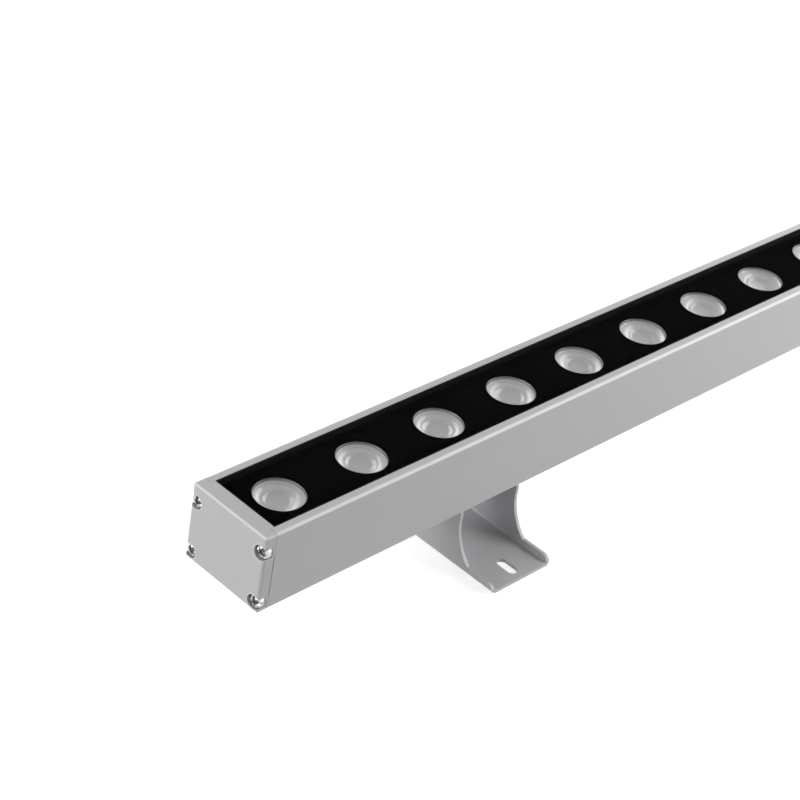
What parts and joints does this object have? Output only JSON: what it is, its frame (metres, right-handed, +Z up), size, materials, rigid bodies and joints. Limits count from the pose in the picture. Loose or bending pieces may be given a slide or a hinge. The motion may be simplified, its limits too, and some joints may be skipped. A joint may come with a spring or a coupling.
{
  "type": "linear architectural light",
  "caption": "Slim sealed aluminium bar light with round lenses under black-masked glass, tilting on two pressed brackets with slotted feet.",
  "frame": {"origin": "on the mounting face, under the middle of the light", "axes": "+X along the light towards the cable gland, +Y to the back, +Z up from the mounting face to the glass"},
  "size_m": [0.583, 0.0736, 0.0665],
  "materials": {
    "light_grey_aluminium": "satin light grey, fine powder coat",
    "bracket_sheet": "satin grey pressed sheet",
    "stainless_steel": "polished",
    "clear_glass": "clear tempered",
    "black_sealant": "satin black silicone",
    "black_mask": "deep black print",
    "lens_plastic": "moulded, frosted front",
    "chip_phosphor": "clear dome over yellow phosphor",
    "white_board": "white solder resist",
    "green_board": "green solder resist",
    "black_plastic": "moulded nylon",
    "coil_ferrite": "dark ferrite",
    "capacitor_can": "bare can",
    "wire_insulation": "red insulation",
    "grey_gasket": "grey silicone sheet",
    "black_rubber": "black rubber"
  },
  "bodies": {
    "brackets": {"bracket_near": "bracket_sheet", "bracket_far": "bracket_sheet", "pivot_bolts": "stainless_steel", "pivot_washers": "stainless_steel", "friction_washers": "black_plastic", "pivot_nuts": "stainless_steel"},
    "light": {"housing": "light_grey_aluminium", "end_cap_near": "light_grey_aluminium", "end_cap_far": "light_grey_aluminium", "hinge_block_near": "light_grey_aluminium", "hinge_block_far": "light_grey_aluminium", "end_cap_screws": "stainless_steel", "light_board_screws": "stainless_steel", "hinge_block_screws": "stainless_steel", "front_glass": "clear_glass", "glass_seal": "black_sealant", "window_mask": "black_mask", "lens_01": "lens_plastic", "lens_02": "lens_plastic", "lens_03": "lens_plastic", "lens_04": "lens_plastic", "lens_05": "lens_plastic", "lens_06": "lens_plastic", "lens_07": "lens_plastic", "lens_08": "lens_plastic", "lens_09": "lens_plastic", "lens_10": "lens_plastic", "lens_11": "lens_plastic", "lens_12": "lens_plastic", "lens_13": "lens_plastic", "lens_14": "lens_plastic", "light_chips_near": "chip_phosphor", "light_chips_far": "chip_phosphor", "light_board_near": "white_board", "light_board_far": "white_board", "board_connectors": "white_board", "driver_header": "white_board", "driver_board": "green_board", "cable_terminal": "green_board", "driver_chips": "black_plastic", "gland_body": "black_plastic", "gland_lock_nut": "black_plastic", "gland_dome_nut": "black_plastic", "driver_coils": "coil_ferrite", "driver_capacitors": "capacitor_can", "board_wires": "wire_insulation", "end_gasket_near": "grey_gasket", "end_gasket_far": "grey_gasket", "gland_washer": "black_rubber", "gland_bush": "black_rubber"}
  },
  "joints": [
    {"name": "tilt", "type": "hinge", "parent": "brackets", "child": "light", "pos_m": [0, 0, 0.022], "axis": [1, 0, 0], "range_deg": [-35, 35]}
  ]
}
